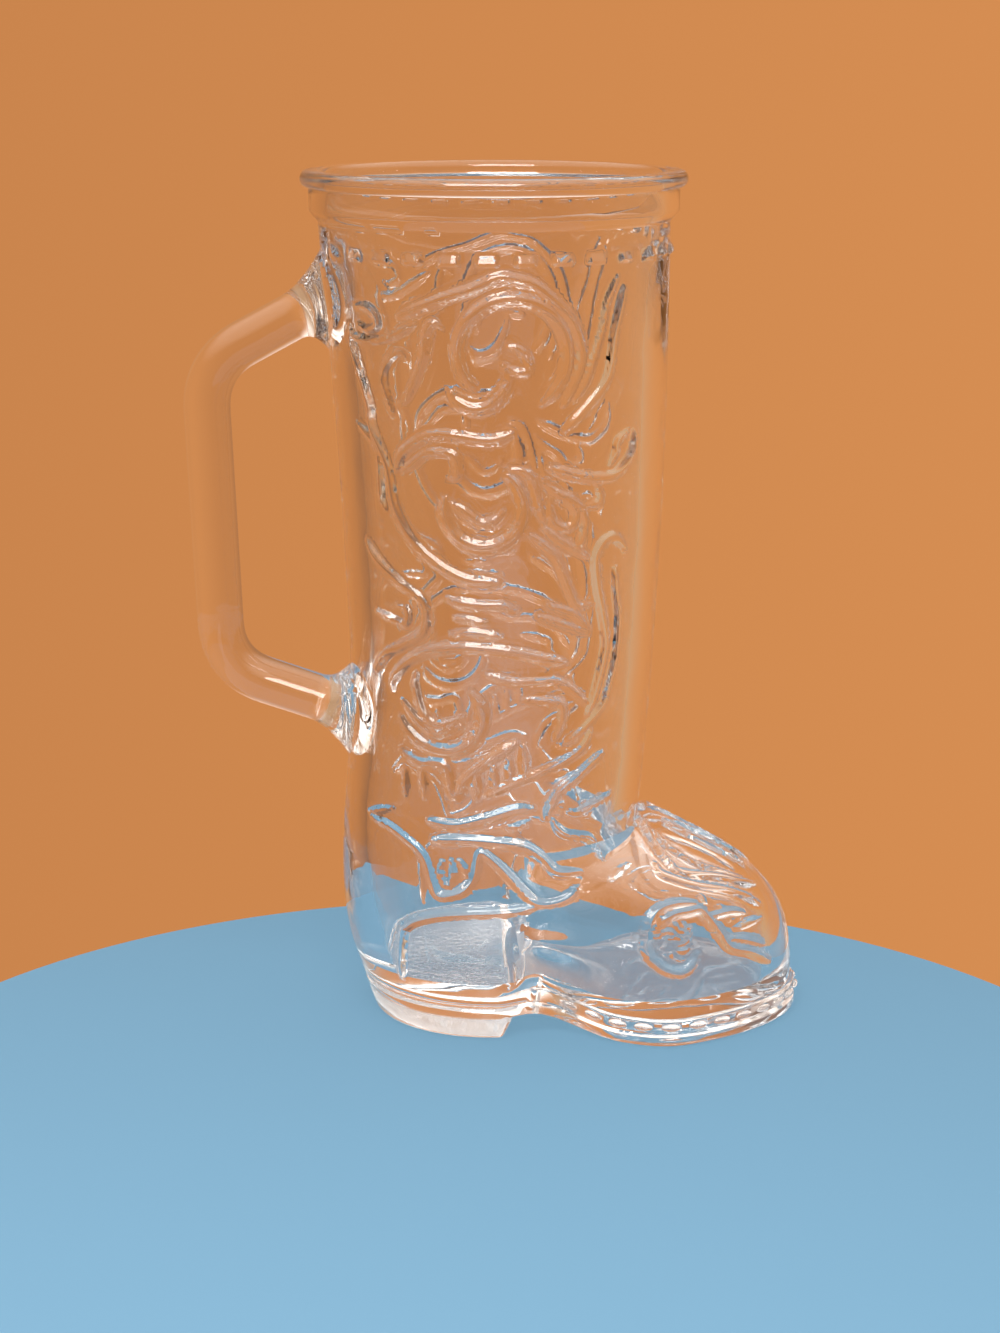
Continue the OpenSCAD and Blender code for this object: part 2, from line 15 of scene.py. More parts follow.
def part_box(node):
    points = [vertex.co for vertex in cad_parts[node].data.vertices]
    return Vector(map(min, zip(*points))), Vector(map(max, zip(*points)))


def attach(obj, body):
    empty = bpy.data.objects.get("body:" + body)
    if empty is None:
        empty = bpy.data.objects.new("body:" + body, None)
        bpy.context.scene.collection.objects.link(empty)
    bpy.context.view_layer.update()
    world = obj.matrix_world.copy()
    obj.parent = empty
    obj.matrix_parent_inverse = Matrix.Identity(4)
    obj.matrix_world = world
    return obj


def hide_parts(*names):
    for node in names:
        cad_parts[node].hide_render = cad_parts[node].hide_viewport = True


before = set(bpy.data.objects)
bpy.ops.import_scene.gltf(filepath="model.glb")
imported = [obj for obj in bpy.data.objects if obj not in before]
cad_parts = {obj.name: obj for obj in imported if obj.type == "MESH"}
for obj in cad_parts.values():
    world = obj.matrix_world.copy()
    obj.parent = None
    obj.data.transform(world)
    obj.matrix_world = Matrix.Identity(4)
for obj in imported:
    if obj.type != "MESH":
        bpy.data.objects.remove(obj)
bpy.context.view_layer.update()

MM = 0.001

# %% [markdown]
# ## Camera
# The photograph looks a little down on the boot's right side. A camera needs only its place, its tilt
# and its lens. They were found by matching the rim, the toe, the heel and the handle.

# %% Camera
camera_place = Vector((1.4, -631, 236)) * MM
camera_tilt = 13.5
camera_lens = 72.5

camera_data = bpy.data.cameras.new("camera")
camera_data.lens = camera_lens
camera_data.sensor_width = 36
camera = bpy.data.objects.new("camera", camera_data)
camera.location = camera_place
camera.rotation_euler = (radians(90 - camera_tilt), 0, 0)
bpy.context.scene.collection.objects.link(camera)
bpy.context.scene.camera = camera
print("camera", camera.location[:])

# %% [markdown]
# ## Sizes of the boot
# What the frame can tell is asked from the frame, so the looks follow the construction. The bends
# that no box shows, such as the slim calf, are written here as the maker of the mould would name them.

# %% Sizes of the leg
lip_low, lip_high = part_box("lip")
collar_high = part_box("collar")[1]
leg_low, leg_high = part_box("leg")

mug_h = lip_high.z
lip_r = lip_high.x
lip_z = lip_low.z
lip_t = 5.6 * MM
collar_r = collar_high.x
collar_bevel = 2.4 * MM
leg_top = leg_high.z
leg_r = leg_high.x
vamp_z = leg_low.z
wall = 5.6 * MM
calf_back = 34.7 * MM
calf_z = 80 * MM
ankle_front = 34.9 * MM
print("mug", round(mug_h / MM), "mm high, lip", round(2 * lip_r / MM), "mm across")

# %% Sizes of foot, sole and heel
foot_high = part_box("foot")[1]
heel_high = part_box("heel")[1]
welt_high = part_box("welt")[1]

foot_wall = 7.2 * MM
floor_t = 2.6 * MM
counter_r = 37.1 * MM
counter_z = 36 * MM
toe_x = foot_high.x
toe_w = 41 * MM
flare_x = 46 * MM
waist_w = 23.5 * MM
waist_x = 12 * MM
ball_x = 30 * MM
sole_t = 6.6 * MM
outsole_t = 3 * MM
welt_margin = welt_high.x - toe_x
edge = 0.7 * MM
heel_h = heel_high.z
heel_r = 29.4 * MM
heel_top_r = 31.2 * MM
seat_r = 33.2 * MM
seat_z = sole_t + heel_h
breast_x = 5 * MM
breast_lean = 2.4 * MM
print("sole", round((welt_high.x + heel_top_r) / MM), "mm long, heel", round(heel_h / MM, 1), "mm high")


# %% [markdown]
# ## The shape as functions
# A boot has no simple primitive. Its leg is a stack of circles that slide and shrink, and its foot
# changes from a circle into the outline of the sole. So the shape is written as functions that give a
# point for a turn round the boot and a height, and the same functions serve the outside, the hollow
# inside and the place of every raised line.

# %% Shape of the leg
def mix(a, b, t):
    return a + (b - a) * t


def ease(t):
    t = min(1, max(0, t))
    return t * t * (3 - 2 * t)


calf_curve = 1.5
seat_curve = 2.5
shin_curve = 2.3


def back(z):
    if z > calf_z:
        return mix(calf_back, leg_r, ((z - calf_z) / (leg_top - calf_z)) ** calf_curve)
    if z > counter_z:
        return mix(counter_r, calf_back, ease((z - counter_z) / (calf_z - counter_z)))
    return mix(counter_r, seat_r, ((counter_z - z) / (counter_z - seat_z)) ** seat_curve)


def front(z):
    return mix(leg_r, ankle_front, max(0, (leg_top - z) / (leg_top - vamp_z)) ** shin_curve)


def leg_middle(z):
    return (front(z) - back(z)) / 2


def leg_radius(z):
    return (front(z) + back(z)) / 2


def leg_point(turn, z, inset=0):
    r = leg_radius(z) - inset
    return Vector((leg_middle(z) + r * cos(turn), r * sin(turn), z))


print("calf", round(2 * leg_radius(calf_z) / MM, 1), "mm thick")

# %% [markdown]
# The foot needs two more ideas. A share t runs from 0 at the ankle to 1 at the sole and follows a cubic
# curve, so the vamp swells as a boot's does. Below a certain share the heel end lifts off the floor to
# make room for the heel block, and the outline tucks in at the waist.

# %% Shape of foot and sole
foot_middle = leg_middle(vamp_z)
low_share = 0.42
waist_tuck = 2
tip_shares = (0, 0.75, 1.02, 1)
vamp_shares = (1, 0.72, 0.6, 0)


def cubic(p, t):
    u = 1 - t
    return u ** 3 * p[0] + 3 * u * u * t * p[1] + 3 * u * t * t * p[2] + t ** 3 * p[3]


def low(t):
    return ease((t - low_share) / (1 - low_share))


def lift(x):
    return heel_h * ease((ball_x - x) / (ball_x - breast_x))


def sole_width(x, rear):
    if x < waist_x:
        return mix(rear, waist_w, ease(x / waist_x))
    return mix(waist_w, toe_w, ease((x - waist_x) / (flare_x - waist_x)))


def foot_reach(t, inset=0, floor=0):
    tip = mix(ankle_front, toe_x, cubic(tip_shares, t)) - inset
    z = mix(sole_t + floor, vamp_z - inset, cubic(vamp_shares, t))
    return tip, back(z + heel_h * low(t)) + foot_middle, z


def foot_point(turn, t, inset=0, floor=0):
    tip, rear, z = foot_reach(t, inset, floor)
    ahead = cos(turn) > 0
    x = foot_middle + (tip - foot_middle if ahead else rear - inset) * cos(turn)
    w = rear
    if ahead:
        upper = mix(rear, mix(rear, toe_w, ease(t)), ease(x / flare_x))
        w = mix(upper, sole_width(x, rear), low(t) ** waist_tuck)
    return Vector((x, (w - inset) * sin(turn), z + lift(x) * low(t)))


def sole_point(turn, h, inset=0):
    rear = mix(heel_top_r, seat_r, h / sole_t) + foot_middle
    ahead = cos(turn) > 0
    reach = toe_x + welt_margin - foot_middle if ahead else rear
    x = foot_middle + (reach - inset) * cos(turn)
    w = sole_width(x, rear) + welt_margin * ease(x / waist_x) if ahead else rear
    return Vector((x, (w - inset) * sin(turn), h + lift(x)))


print("toe", round(sole_point(0, 0).x / MM, 1), "mm ahead of the leg's axis")


# %% [markdown]
# ## Rings to skin
# A grid that is rolled up is the quickest closed skin: its columns run round the boot and its rows run
# down it. The operator makes the grid and its faces, each vertex is then moved to its ring, and the
# seam is merged. The columns stand closer on the two sides, where the tooling is.

# %% Helper: a rolled grid
merge_gap = 1e-7


def rolled_grid(bm, rings):
    rows, columns = len(rings), len(rings[0])
    made = bmesh.ops.create_grid(bm, x_segments=columns, y_segments=rows - 1, size=1)["verts"]
    for index, vert in enumerate(made):
        row, column = divmod(index, columns + 1)
        vert.co = rings[row][column % columns]
    bmesh.ops.remove_doubles(bm, verts=made, dist=merge_gap)


def turns_round(zones):
    half = []
    for start, end, count in zones:
        half += [mix(start, end, i / count) * pi for i in range(count)]
    return half + [pi] + [2 * pi - t for t in reversed(half[1:])]


# first and last share of the half turn from toe to handle, and columns
front_zone = (0, 0.2, 14)
side_zone = (0.2, 0.83, 74)
handle_zone = (0.83, 1, 9)
outside_turns = turns_round([front_zone, side_zone, handle_zone])
inside_turns = turns_round([(0, 1, 64)])
print(len(outside_turns), "columns outside,", len(inside_turns), "inside")


# %% [markdown]
# ## Outside rows
# From the top: the rolled lip as two arcs, the plain collar with its bevel, the leg, the foot, and the
# two layers of the sole with a groove between them. The last rows fold the outline flat to close the sole.

# %% Rows of lip and collar
def round_ring(r, z):
    return [Vector((r * cos(t), r * sin(t), z)) for t in outside_turns]


bead_r = (mug_h - lip_z) / 2
bead_z = lip_z + bead_r
mouth_r = lip_r - lip_t
lip_steps = 8
outer_roll = 0.83 * pi
bevel_z = leg_top + collar_bevel
bevel_share = 0.4
corner_share = 0.3
corner_in = edge * corner_share

outside = []
for i in range(lip_steps + 1):
    a = pi - pi / 2 * i / lip_steps
    outside.append(round_ring(mouth_r + bead_r + bead_r * cos(a), bead_z + bead_r * sin(a)))
for i in range(lip_steps + 2):
    a = pi / 2 - outer_roll * i / (lip_steps + 1)
    outside.append(round_ring(lip_r - bead_r + bead_r * cos(a), bead_z + bead_r * sin(a)))
for r, z in (
    (collar_r - corner_in, lip_z),
    (collar_r, lip_z - edge),
    (collar_r, (bevel_z + lip_z) / 2),
    (collar_r, bevel_z + edge / 2),
    (collar_r - edge * bevel_share, bevel_z - edge / 2),
):
    outside.append(round_ring(r, z))
print(len(outside), "rows in lip and collar")

# %% Rows of leg, foot and sole
leg_rows = 141
foot_rows = 56
fold_shares = (0.85, 0.5, 0)


def folded(ring):
    return [[Vector((p.x, p.y * share, p.z)) for p in ring] for share in fold_shares]


for i in range(leg_rows + 1):
    z = mix(leg_top, vamp_z, i / leg_rows)
    outside.append([leg_point(t, z) for t in outside_turns])
for i in range(1, foot_rows + 1):
    outside.append([foot_point(t, i / foot_rows) for t in outside_turns])
for h, inset in (
    (sole_t, edge), (sole_t - corner_in, corner_in), (sole_t - edge, 0),
    (outsole_t + edge, 0), (outsole_t, edge), (outsole_t - edge, 0),
    (edge, 0), (corner_in, corner_in), (0, edge),
):
    outside.append([sole_point(t, h, inset) for t in outside_turns])
outside += folded(outside[-1])
print(len(outside), "rows outside")

# %% [markdown]
# ## Inside rows
# The hollow follows the outside a wall's thickness further in. The wall grows towards the sole, as it does
# in pressed glass, and bends the view of what lies behind. Under the lip the hollow narrows over a long,
# gentle draft, because a short, steep throat would throw dark blocks into the collar.

# %% Rows of the inside
inside_rows = 48
inside_foot_rows = 24
draft_end = 160 * MM
throat_z = lip_z + bead_r * 0.4


def hollow_point(turn, z):
    share = min(1, max(0, (z - draft_end) / (lip_z - draft_end)))
    inset = mix(wall, leg_r - mouth_r, (share + ease(share)) / 2)
    place = leg_point(turn, min(z, leg_top), inset)
    return Vector((place.x, place.y, z))


inside = []
for i in range(inside_rows + 1):
    z = mix(throat_z, vamp_z, i / inside_rows)
    inside.append([hollow_point(t, z) for t in inside_turns])
for i in range(1, inside_foot_rows + 1):
    share = i / inside_foot_rows
    inside.append([foot_point(t, share, mix(wall, foot_wall, share), floor_t) for t in inside_turns])
inside += folded(inside[-1])
print(len(inside), "rows inside")

# %% [markdown]
# ## Tooling
# Western boots carry stitched scrolls, and the mould of this mug repeats them as raised lines. Each line
# is a few points given on the boot's side: across (towards the toe) and up, in millimetres.
# A smooth curve runs through them. The left side mirrors the right one.

# %% Scrolls and bold lines on the leg
scrolls = [
    # middle across and up, first and last radius, first and last angle
    ((3.5, 164.8), (11, 13.4), (219, -56)),
    ((-2.5, 130), (8.7, 9.3), (167, 413)),
    ((-10.5, 82.5), (11.5, 7), (197, 396)),
]
bold_lines = [
    [(-21, 172.5), (-14.5, 175.5), (-9.5, 177.5), (-5, 179), (1, 181.5), (5.5, 181), (9.5, 179.5),
     (15.5, 174), (18, 170), (19.5, 164.5), (19, 161), (17.5, 157.5), (15.5, 153)],
    [(-9.5, 156), (-8, 154), (-5, 152.5), (-1.5, 153), (1, 155), (3, 158), (3.5, 160)],
    [(-32.5, 167.5), (-31, 162), (-28, 152), (-27.5, 147), (-24, 138.5), (-22.5, 129.5), (-19, 122.5),
     (-14, 117.5), (-6.5, 113.5), (1, 113)],
    [(29, 178.5), (27, 169), (25.5, 159), (21, 152.5), (16, 147.5)],
    [(-22, 137.5), (-20.5, 141.5), (-18, 144), (-14.5, 146), (-10, 146.5), (-1, 145.5), (4, 147)],
    [(32, 145), (31.5, 141), (29.5, 138), (26.5, 136), (22.5, 136), (18.5, 137), (12.5, 139)],
    [(30, 118), (29.5, 119.5), (27.5, 121.5), (25.5, 121.5), (24, 120), (23, 117), (23.5, 111),
     (24.5, 105), (25.5, 98), (25, 93), (23, 84.5), (21.5, 80.5)],
    [(-29, 119.5), (-26.5, 116), (-21.5, 111.5), (-16.5, 108), (-15.5, 104), (-16.5, 100), (-21, 96.5),
     (-24.5, 94), (-27.5, 89.5)],
    [(-23.5, 85.5), (-23, 88.5), (-19, 93.5), (-13.5, 96.5), (-5.5, 97.5), (5, 96.5), (12.5, 94.5),
     (16.5, 93.5)],
    [(-21.5, 71.5), (-19.5, 70), (-16.5, 69), (-13.5, 69.5), (-11.5, 69), (-10.5, 67), (-9.5, 62.5),
     (-8, 63), (-7, 65.5), (-4.5, 68.5), (1, 72.5), (5, 75)],
    [(25, 70.5), (20, 66.5), (15, 63), (12.5, 58.5), (12.5, 56.5)],
    [(-10.5, 109), (-7.5, 108), (-2.5, 107.5), (1.5, 107.5), (5, 106.5)],
    [(-15, 55.5), (-9, 55), (-1.5, 57), (5, 59), (9, 59)],
    [(-14, 51), (-6.5, 51.5), (1.5, 51), (6.5, 50), (9, 48.5), (11.5, 46.5), (13.5, 44), (16, 43), (20, 43)],
]
fingers = [
    [(-20.5, 66.5), (-20.5, 60.5)], [(-16.5, 67), (-16, 61)], [(-4, 67.5), (-4, 62)],
    [(0, 69), (0, 63.5)], [(3.5, 71), (3.5, 66)], [(6.5, 74), (7, 67.5)],
]
print(len(scrolls) + len(bold_lines) + len(fingers), "bold lines on each side of the leg")

# %% Fine lines on the leg
fine_lines = [
    [(-29, 53.5), (-24.5, 52.5), (-20, 50), (-16.5, 47), (-14.5, 41.5), (-13, 38), (-10.5, 38), (-7, 39.5),
     (-4.5, 43), (-3.5, 48), (-2.5, 48.5), (0, 46.5), (3.5, 43), (6.5, 39.5), (10, 36.5), (14.5, 36.5),
     (18, 38), (20, 41.5)],
    [(3.5, 166.5), (5.5, 166), (7.5, 163.5), (7.5, 161), (4.5, 161), (2, 162.5)],
    [(-31, 174), (-28.5, 174), (-26.5, 172.5), (-26, 170), (-28.5, 169), (-30.5, 170)],
    [(-32.5, 169), (-31.5, 167), (-28.5, 166.5), (-25, 167), (-21.5, 168.5), (-17.5, 171)],
    [(-11.5, 170.5), (-13.5, 171.5), (-15, 169), (-15.5, 164.5), (-16.5, 161), (-19.5, 154), (-21, 153)],
    [(-19.5, 163.5), (-21, 164.5), (-23, 163), (-24.5, 160), (-24.5, 156.5), (-22.5, 150.5)],
    [(27.5, 181), (25, 175.5), (24, 170), (22, 163), (20.5, 158.5), (18, 154)],
    [(-20.5, 137.5), (-18, 139.5), (-15, 142), (-11.5, 142.5), (-8.5, 141.5), (-8, 137.5), (-9.5, 136.5)],
    [(-9.5, 131), (-7.5, 130), (-5.5, 128.5), (-2.5, 126.5), (1, 128), (2, 129.5)],
    [(4, 139), (6.5, 138.5), (8.5, 136.5), (10.5, 129.5), (11.5, 126.5)],
    [(30.5, 146), (28, 144), (27.5, 141.5), (26, 138.5)],
    [(13, 132), (12.5, 129.5), (13.5, 126.5), (16, 125), (18, 126), (18.5, 128.5), (17, 131), (15, 132),
     (13, 132)],
    [(11.5, 135.5), (14.5, 133), (17.5, 131.5), (20, 128.5), (20.5, 125), (19.5, 121.5), (17.5, 120)],
    [(11, 125.5), (14, 123), (16, 121.5), (21.5, 118)],
    [(23, 134.5), (24, 131), (22, 130), (20.5, 130)],
    [(27.5, 114.5), (28, 107.5), (28.5, 103), (28, 93.5), (26, 85), (25, 82), (20.5, 77), (17, 74.5)],
    [(8, 124), (13.5, 119), (16, 113.5), (18, 108), (19.5, 106.5), (22.5, 107)],
    [(-31, 147), (-28, 144.5), (-26, 140.5), (-25.5, 131.5), (-24.5, 128)],
    [(-22, 106), (-20, 105.5), (-19.5, 104), (-20, 102), (-21.5, 102), (-27, 103.5)],
    [(-9, 104.5), (-5, 104), (-1.5, 103.5)],
    [(-10, 100.5), (-5, 101), (2, 100.5)],
    [(10, 105), (13.5, 103.5), (21, 100)],
    [(12, 107.5), (15.5, 106), (18.5, 104.5), (21.5, 100.5)],
    [(-17.5, 90.5), (-18, 87.5), (-16.5, 81.5), (-14, 79), (-11, 79), (-7, 81)],
    [(-2, 91.5), (2.5, 90), (6, 89.5), (12.5, 89.5), (16, 88.5), (20, 84.5), (21.5, 83)],
    [(7.5, 85.5), (13.5, 84.5), (15.5, 83.5), (15.5, 79.5), (14, 75.5)],
    [(22.5, 76.5), (19, 71.5), (4.5, 65.5), (-2, 62.5)],
    [(3.5, 55), (5, 55), (8, 56)],
    [(-12, 46), (-12.5, 43.5), (-11.5, 40.5)],
    [(-10, 46.5), (-9.5, 43.5), (-10.5, 40)],
    [(-8, 46.5), (-7, 45), (-6.5, 43)],
    [(-21, 83.5), (-19.5, 81.5), (-15.5, 77.5), (-12.5, 77), (-7.5, 79)],
    [(6, 129.5), (7.5, 129.5), (9.5, 129.5)],
    [(17.5, 57.5), (19.5, 57), (22, 58), (27, 59.5)],
    [(13.5, 56), (14.5, 54), (16.5, 52), (19.5, 51), (22, 50), (24, 47.5), (25.5, 45)],
    [(-29.5, 54.5), (-27, 55.5), (-23.5, 57)],
]
print(len(fine_lines), "fine lines on each side of the leg")

# %% [markdown]
# The foot carries a double seam along the vamp, a rosette with its stem on the toe, and the outline of
# the counter at the heel. The lines on top of the vamp can't be given from the side, so they are written
# as a turn from the toe in degrees and a share of the way from the leg down to the sole.

# %% Lines on the foot
seams = [
    [(47.5, 33), (42.5, 33.5), (39, 33), (37, 31), (36, 28.5), (35.5, 25.5), (36.5, 22.5), (38.5, 20.5),
     (40.5, 19), (43.5, 18), (45.5, 18.5), (47, 20), (48, 22)],
    [(38.5, 28.5), (40, 30.5), (42.5, 31.5), (46, 31.5), (48.5, 31.5), (50.5, 29.5), (52.5, 27), (55.5, 22.5),
     (58, 21), (60.5, 20), (63.5, 18), (66.5, 15.5)],
    [(-22, 14.5), (-22, 19.5), (-21.5, 27.5), (-20.5, 29), (-18, 31), (-12.5, 33), (-5.5, 34), (3.5, 34.5),
     (9.5, 35.5)],
    [(6.5, 35.5), (5.5, 29.5), (5, 21), (4.5, 13.5)],
]
foot_lines = [
    [(49, 34.2), (50, 32.8)], [(51.5, 29.5), (56, 29.5), (59.5, 28.5)], [(58, 25.5), (61, 26), (64, 26)],
    [(53.5, 31.5), (56.5, 27.5)], [(55.5, 24), (60, 22.5), (64.5, 20)],
    [(27.5, 40.5), (30, 42.5), (31.5, 43)],
]
vamp_seams = [
    [(4, 0), (19, 0.05), (28, 0.11), (34, 0.19), (36, 0.27), (33, 0.31), (29, 0.34), (25, 0.38), (20, 0.45),
     (14, 0.49)],
    [(39, 0.19), (42, 0.25), (41, 0.29), (38, 0.35), (34, 0.4), (29, 0.45), (25, 0.51), (22, 0.57),
     (20, 0.6)],
]
vamp_lines = [
    [(14, 0.05), (24, 0.13), (26, 0.18), (27, 0.24), (25, 0.3), (21, 0.38), (17, 0.43)],
    [(4, 0.08), (5, 0.13), (6, 0.19), (6, 0.29), (4, 0.4)],
]
print(len(seams) + len(foot_lines) + len(vamp_seams) + len(vamp_lines), "lines on each side of the foot")


# %% [markdown]
# ## From points to raised glass
# The curve through the points is sampled closely, and the samples go into a KD tree, which finds those
# near any place very fast. Every vertex of the skin then rises by a round profile of its distance to the
# lines beside it. The glass stays one closed surface, as in the mould.

# %% Helpers: a smooth curve through points, and its place on the boot
def through(points, step):
    curve = []
    last = len(points) - 1
    for i in range(last):
        a, b, c, d = points[max(0, i - 1)], points[i], points[i + 1], points[min(last, i + 2)]
        count = max(1, round((c - b).length / step))
        for k in range(count):
            t = k / count
            curve.append((2 * b + (c - a) * t + (2 * a - 5 * b + 4 * c - d) * t * t
                          + (3 * (b - c) + d - a) * t ** 3) / 2)
    return curve + [points[last]]


def right_turn(share):
    return -acos(max(-1, min(1, share)))


halvings = 24


def on_side(across, up):
    x, z = across * MM, up * MM
    if z >= vamp_z:
        return leg_point(right_turn((x - leg_middle(z)) / leg_radius(z)), z)
    high, deep = 0, 1
    for _ in range(halvings):
        t = (high + deep) / 2
        tip, rear, _ = foot_reach(t)
        share = (x - foot_middle) / (tip - foot_middle if x > foot_middle else rear)
        place = foot_point(right_turn(share), t)
        high, deep = (t, deep) if place.z > z else (high, t)
    return place


def arc(middle, first, last, ends, count=28):
    for k in range(count + 1):
        t = k / count
        a = radians(mix(ends[0], ends[1], t))
        yield middle[0] + mix(first[0], last[0], t) * cos(a), middle[1] + mix(first[1], last[1], t) * sin(a)


print("hem's front point at", [round(c / MM, 1) for c in on_side(*fine_lines[0][-1])], "mm")

# %% Courses of all lines, with half-width and height
broad = (1.75 * MM, 1.25 * MM)
bold = (1.5 * MM, 1.15 * MM)
fine = (1.2 * MM, 0.95 * MM)
slim = (0.85 * MM, 0.65 * MM)
rosette_middle = (42.5, 25.5)
rosette_radii = (4.2, 5.2)
rosette_arms = 8
hub_share = 0.2
hub_radii = [hub_share * r for r in rosette_radii]
arm_sweep = 75
arm_steps = 8

drawn = []
for middle, radii, ends in scrolls:
    drawn.append((arc(middle, (radii[0], radii[0]), (radii[1], radii[1]), ends), broad))
for lines, size in (
    (bold_lines, bold), (fine_lines, fine), (fingers, bold), (seams, bold), (foot_lines, fine),
):
    drawn += [(line, size) for line in lines]
for k in range(rosette_arms):
    start = 360 * k / rosette_arms
    arm = arc(rosette_middle, hub_radii, rosette_radii, (start, start + arm_sweep), arm_steps)
    drawn.append((arm, slim))
courses = [([on_side(*p) for p in line], *size) for line, size in drawn]
for lines, size in ((vamp_seams, bold), (vamp_lines, fine)):
    courses += [([foot_point(-radians(turn), share) for turn, share in line], *size) for line in lines]
courses += [([Vector((p.x, -p.y, p.z)) for p in line], w, h) for line, w, h in courses]
print(len(courses), "courses")

# %% [markdown]
# The stitches under the collar are wedges: each face leans back and catches the light from above, and
# its lower end drops off steeply. They stop short of the handle. Here they only mark where the skin needs
# more vertices, and the wedge itself is a formula of the place.

# %% Stitches under the collar
stitch_count = 30
stitch_z = leg_top - 6 * MM
stitch_half = 1.4 * MM
stitch_rise = 1.15 * MM
stitch_share = 0.6
stitch_marks = 4
ridge_share = 0.8
end_share = 0.15
stitch_pitch = 2 * pi / stitch_count
handle_turn = radians(21)


def beside_handle(turn):
    return abs(turn - pi) < handle_turn + stitch_pitch / 2


def wedge(place):
    down = (stitch_z + stitch_half - place.z) / (2 * stitch_half)
    turn = atan2(place.y, place.x - leg_middle(place.z)) % (2 * pi)
    along = turn / stitch_pitch % 1 / stitch_share
    if not 0 < down < 1 or along > 1 or beside_handle(turn):
        return 0
    face = min(down / ridge_share, (1 - down) / (1 - ridge_share))
    return stitch_rise * face * ease(min(along, 1 - along) / end_share)


for k in range(stitch_count):
    turns = [(k + stitch_share * j / stitch_marks) * stitch_pitch for j in range(stitch_marks + 1)]
    if not any(beside_handle(t) for t in turns):
        courses.append(([leg_point(t, stitch_z) for t in turns], stitch_half, 0))
print(len(courses), "courses with the stitches")

# %% Search tree of the samples
sample_step = 0.35 * MM
taper_length = 4 * MM
tip_share = 0.55

samples = []
for points, half_width, height in courses:
    curve = through(points, sample_step)
    for i, place in enumerate(curve):
        from_end = min(i, len(curve) - 1 - i) * sample_step
        size = mix(tip_share, 1, ease(from_end / taper_length))
        samples.append((place, half_width * size, height * size))
tree = kdtree.KDTree(len(samples))
for i, sample in enumerate(samples):
    tree.insert(sample[0], i)
tree.balance()
print(len(samples), "samples")


# %% [markdown]
# ## The glass body
# The outside is rolled first. Only the glass near a line is divided once more, so that the ridges are
# smooth and the plain glass stays light, and then the tooling rises. The inside is rolled with fewer
# columns, and the two are bridged at the mouth. Sole and floor are already closed by their folded rows.

# %% Helpers: divide the skin and raise the tooling
wave_height = 0.03 * MM
wave_length = 9 * MM
line_margin = 0.4 * MM
ridge_round = 1.1


def carries(vert):
    return seat_z < vert.co.z < leg_top


def refine(bm):
    near = set()
    for vert in bm.verts:
        if carries(vert):
            for _, index, distance in tree.find_range(vert.co, broad[0] + line_margin):
                if distance < samples[index][1] + line_margin:
                    near.add(vert)
                    break
    edges = [e for e in bm.edges if e.verts[0] in near or e.verts[1] in near]
    bmesh.ops.subdivide_edges(bm, edges=edges, cuts=1, use_grid_fill=True)
    return len(near)


def rise(place):
    best = 0
    for _, index, distance in tree.find_range(place, broad[0]):
        _, half_width, height = samples[index]
        if distance < half_width:
            best = max(best, height * (1 - (distance / half_width) ** 2) ** ridge_round)
    return best


def raise_tooling(bm):
    bm.normal_update()
    moves = []
    for vert in bm.verts:
        if carries(vert):
            wave = wave_height * noise.noise(vert.co / wave_length)
            moves.append((vert, vert.normal * (rise(vert.co) + wedge(vert.co) + wave)))
    for vert, move in moves:
        vert.co += move
    return len(moves)


# %% Roll, divide, raise and bridge
def open_edges(bm):
    return [e for e in bm.edges if e.is_boundary]


body = bmesh.new()
rolled_grid(body, outside)
bmesh.ops.recalc_face_normals(body, faces=body.faces[:])
foremost = max(body.faces, key=lambda face: face.calc_center_median().x)
if foremost.normal.x < 0:
    bmesh.ops.reverse_faces(body, faces=body.faces[:])
print(refine(body), "vertices near a line")
print(raise_tooling(body), "vertices raised")
rolled_grid(body, inside)
bmesh.ops.bridge_loops(body, edges=open_edges(body))
bmesh.ops.recalc_face_normals(body, faces=body.faces[:])
print(len(body.faces), "faces, open edges:", len(open_edges(body)))


# %% [markdown]
# ## Handle
# The handle is a bar of oval section that leaves the leg, bends, runs down and comes back. Its roots flare
# and end inside the wall, so a Boolean union can melt them into the body. First comes the bar's line.

# %% Line of the handle
handle_reach = 68.2 * MM
handle_lean = 2.8 * MM
root_top = leg_top - 18.4 * MM
bend_top = root_top - 15.4 * MM
bend_low = 84.6 * MM
root_low = 74.4 * MM
bend_len = 11 * MM
flare_len = 9 * MM
grip_steps = 10


def bend(p, q, r, count=14):
    a = q + (p - q).normalized() * bend_len
    b = q + (r - q).normalized() * bend_len
    return [(1 - t) ** 2 * a + 2 * t * (1 - t) * q + t * t * b for t in (k / count for k in range(count + 1))]


corners = [
    Vector((-back(root_top), 0, root_top)), Vector((-handle_reach, 0, bend_top)),
    Vector((handle_lean - handle_reach, 0, bend_low)), Vector((-back(root_low), 0, root_low)),
]
upper_bend = bend(*corners[:3])
lower_bend = bend(*corners[1:])
bar = [corners[0] + (corners[1] - corners[0]).normalized() * flare_len]
bar += upper_bend
bar += [mix(upper_bend[-1], lower_bend[0], k / grip_steps) for k in range(1, grip_steps)]
bar += lower_bend
bar.append(corners[3] + (corners[2] - corners[3]).normalized() * flare_len)
print(len(bar), "points along the bar")

# %% [markdown]
# An oval rides along that line. At each root it spreads on the back of the leg, wider than the bar, and
# one last ring lies deeper in the wall.

# %% Bar and roots
handle_t = 11 * MM
handle_w = 15 * MM
root_share = 1.9
root_depth = 2 * MM
bar_sides = 40
flare_steps = 8


def section(i):
    a = 2 * pi * i / bar_sides
    return handle_t / 2 * cos(a), handle_w / 2 * sin(a)


def on_back(y, z, inset=0):
    r = leg_radius(z) - inset
    return Vector((leg_middle(z) - sqrt(r * r - y * y), y, z))


